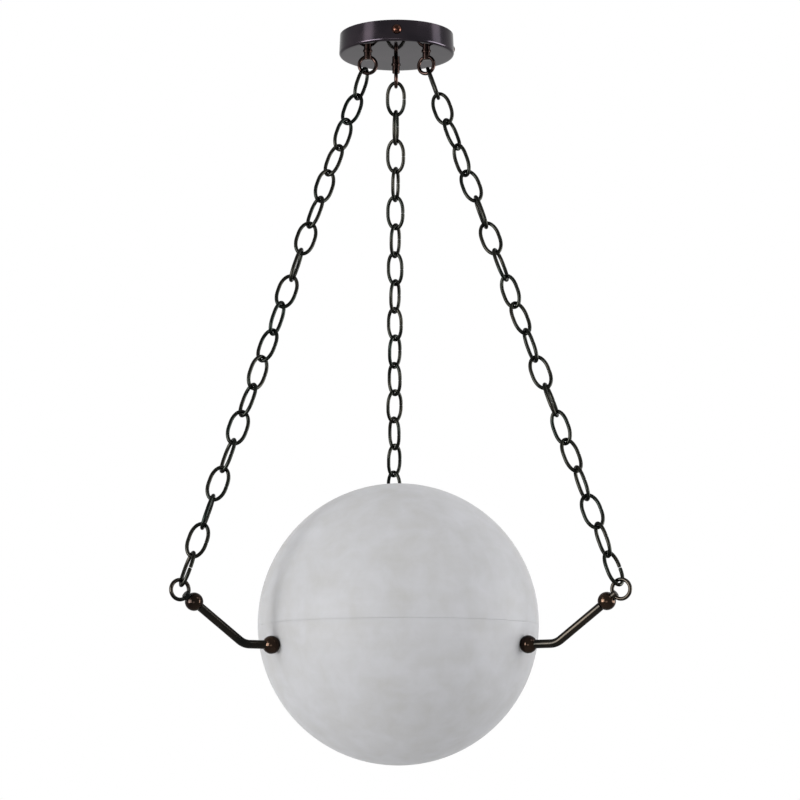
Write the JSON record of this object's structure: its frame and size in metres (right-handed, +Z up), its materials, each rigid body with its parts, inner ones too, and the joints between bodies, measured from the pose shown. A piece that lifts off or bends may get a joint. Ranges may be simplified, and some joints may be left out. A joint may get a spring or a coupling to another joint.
{
  "type": "alabaster pendant light",
  "caption": "Round stone pendant light: two half shells on bent arms, hung by splayed chains from a round ceiling canopy, with a lamp inside.",
  "frame": {"origin": "middle of the ceiling plane, between the two slots of the ceiling bracket", "axes": "+Z up, out of the canopy into the ceiling; -Y is the front, with the third chain at the back on +Y"},
  "size_m": [0.4722, 0.4222, 0.7975],
  "materials": {
    "bronze": "polished",
    "chain": "satin",
    "alabaster": "satin",
    "zinc": "satin",
    "soft": "matte",
    "porcelain": "gloss",
    "block": "matte",
    "cap": "satin",
    "envelope": "satin"
  },
  "bodies": {
    "ceiling_canopy": {"canopy_cup": "bronze", "ceiling_bracket": "zinc", "canopy_side_screws": "bronze", "terminal_block": "block", "back_hook_eye": "bronze", "left_hook_eye": "bronze", "right_hook_eye": "bronze", "hook_washers": "zinc", "hook_nuts": "zinc"},
    "back_first_link": {"back_top_link": "chain"},
    "back_chain": {"back_chain_links": "chain"},
    "back_last_link": {"back_end_link": "chain"},
    "left_first_link": {"left_top_link": "chain"},
    "left_chain": {"left_chain_links": "chain", "left_end_link": "chain"},
    "right_first_link": {"right_top_link": "chain"},
    "right_chain": {"right_chain_links": "chain", "right_end_link": "chain"},
    "globe": {"back_arm_eye": "bronze", "left_arm_eye": "bronze", "right_arm_eye": "bronze", "outer_balls": "bronze", "back_arm_tube": "bronze", "left_arm_tube": "bronze", "right_arm_tube": "bronze", "inner_balls": "bronze", "wall_studs": "zinc", "outer_soft_washers": "soft", "inner_soft_washers": "soft", "wall_nuts": "zinc", "alabaster_bowl": "alabaster", "lamp_spider": "zinc", "lampholder": "porcelain", "holder_ring_nut": "porcelain"},
    "dome": {"alabaster_dome": "alabaster"},
    "bulb": {"bulb_cap": "cap", "bulb_glass": "envelope"}
  },
  "joints": [
    {"name": "swing", "type": "hinge", "parent": "ceiling_canopy", "child": "back_first_link", "pos_m": [0, 0.04031, -0.04724], "axis": [1, 0, 0], "range_deg": [-6, 6]},
    {"name": "sway", "type": "hinge", "parent": "back_first_link", "child": "back_chain", "pos_m": [0, 0.05097, -0.07501], "axis": [0, 1, 0], "range_deg": [-6, 6]},
    {"name": "globe_swing", "type": "hinge", "parent": "back_chain", "child": "back_last_link", "pos_m": [0, 0.24587, -0.5829], "axis": [1, 0, 0], "range_deg": [-2, 2]},
    {"name": "globe_sway", "type": "hinge", "parent": "back_last_link", "child": "globe", "pos_m": [0, 0.25653, -0.61068], "axis": [0, 1, 0], "range_deg": [-2, 2]},
    {"name": "left_swing", "type": "hinge", "parent": "ceiling_canopy", "child": "left_first_link", "pos_m": [-0.03496, -0.0185, -0.04738], "axis": [1, 0, 0], "range_deg": [-7, 7]},
    {"name": "left_sway", "type": "hinge", "parent": "left_first_link", "child": "left_chain", "pos_m": [-0.04421, -0.02392, -0.07521], "axis": [0, 1, 0], "range_deg": [-7, 7]},
    {"name": "right_swing", "type": "hinge", "parent": "ceiling_canopy", "child": "right_first_link", "pos_m": [0.03491, -0.02016, -0.04724], "axis": [1, 0, 0], "range_deg": [-7, 7]},
    {"name": "right_sway", "type": "hinge", "parent": "right_first_link", "child": "right_chain", "pos_m": [0.04416, -0.0255, -0.07507], "axis": [0, 1, 0], "range_deg": [-7, 7]},
    {"name": "dome_lift", "type": "slide", "parent": "globe", "child": "dome", "axis": [0, 0, 1], "range_m": [0, 0.2]},
    {"name": "bulb_out", "type": "slide", "parent": "globe", "child": "bulb", "axis": [0, 0, 1], "range_m": [0, 0.03]}
  ],
  "couplings": [
    {"joint": "globe_swing", "follows": "swing", "ratio": -0.16397},
    {"joint": "globe_sway", "follows": "sway", "ratio": -0.1987},
    {"joint": "left_swing", "follows": "swing", "ratio": 0.99167},
    {"joint": "left_sway", "follows": "sway", "ratio": 0.99987},
    {"joint": "right_swing", "follows": "swing", "ratio": 0.99192},
    {"joint": "right_sway", "follows": "sway", "ratio": 1.0001}
  ]
}
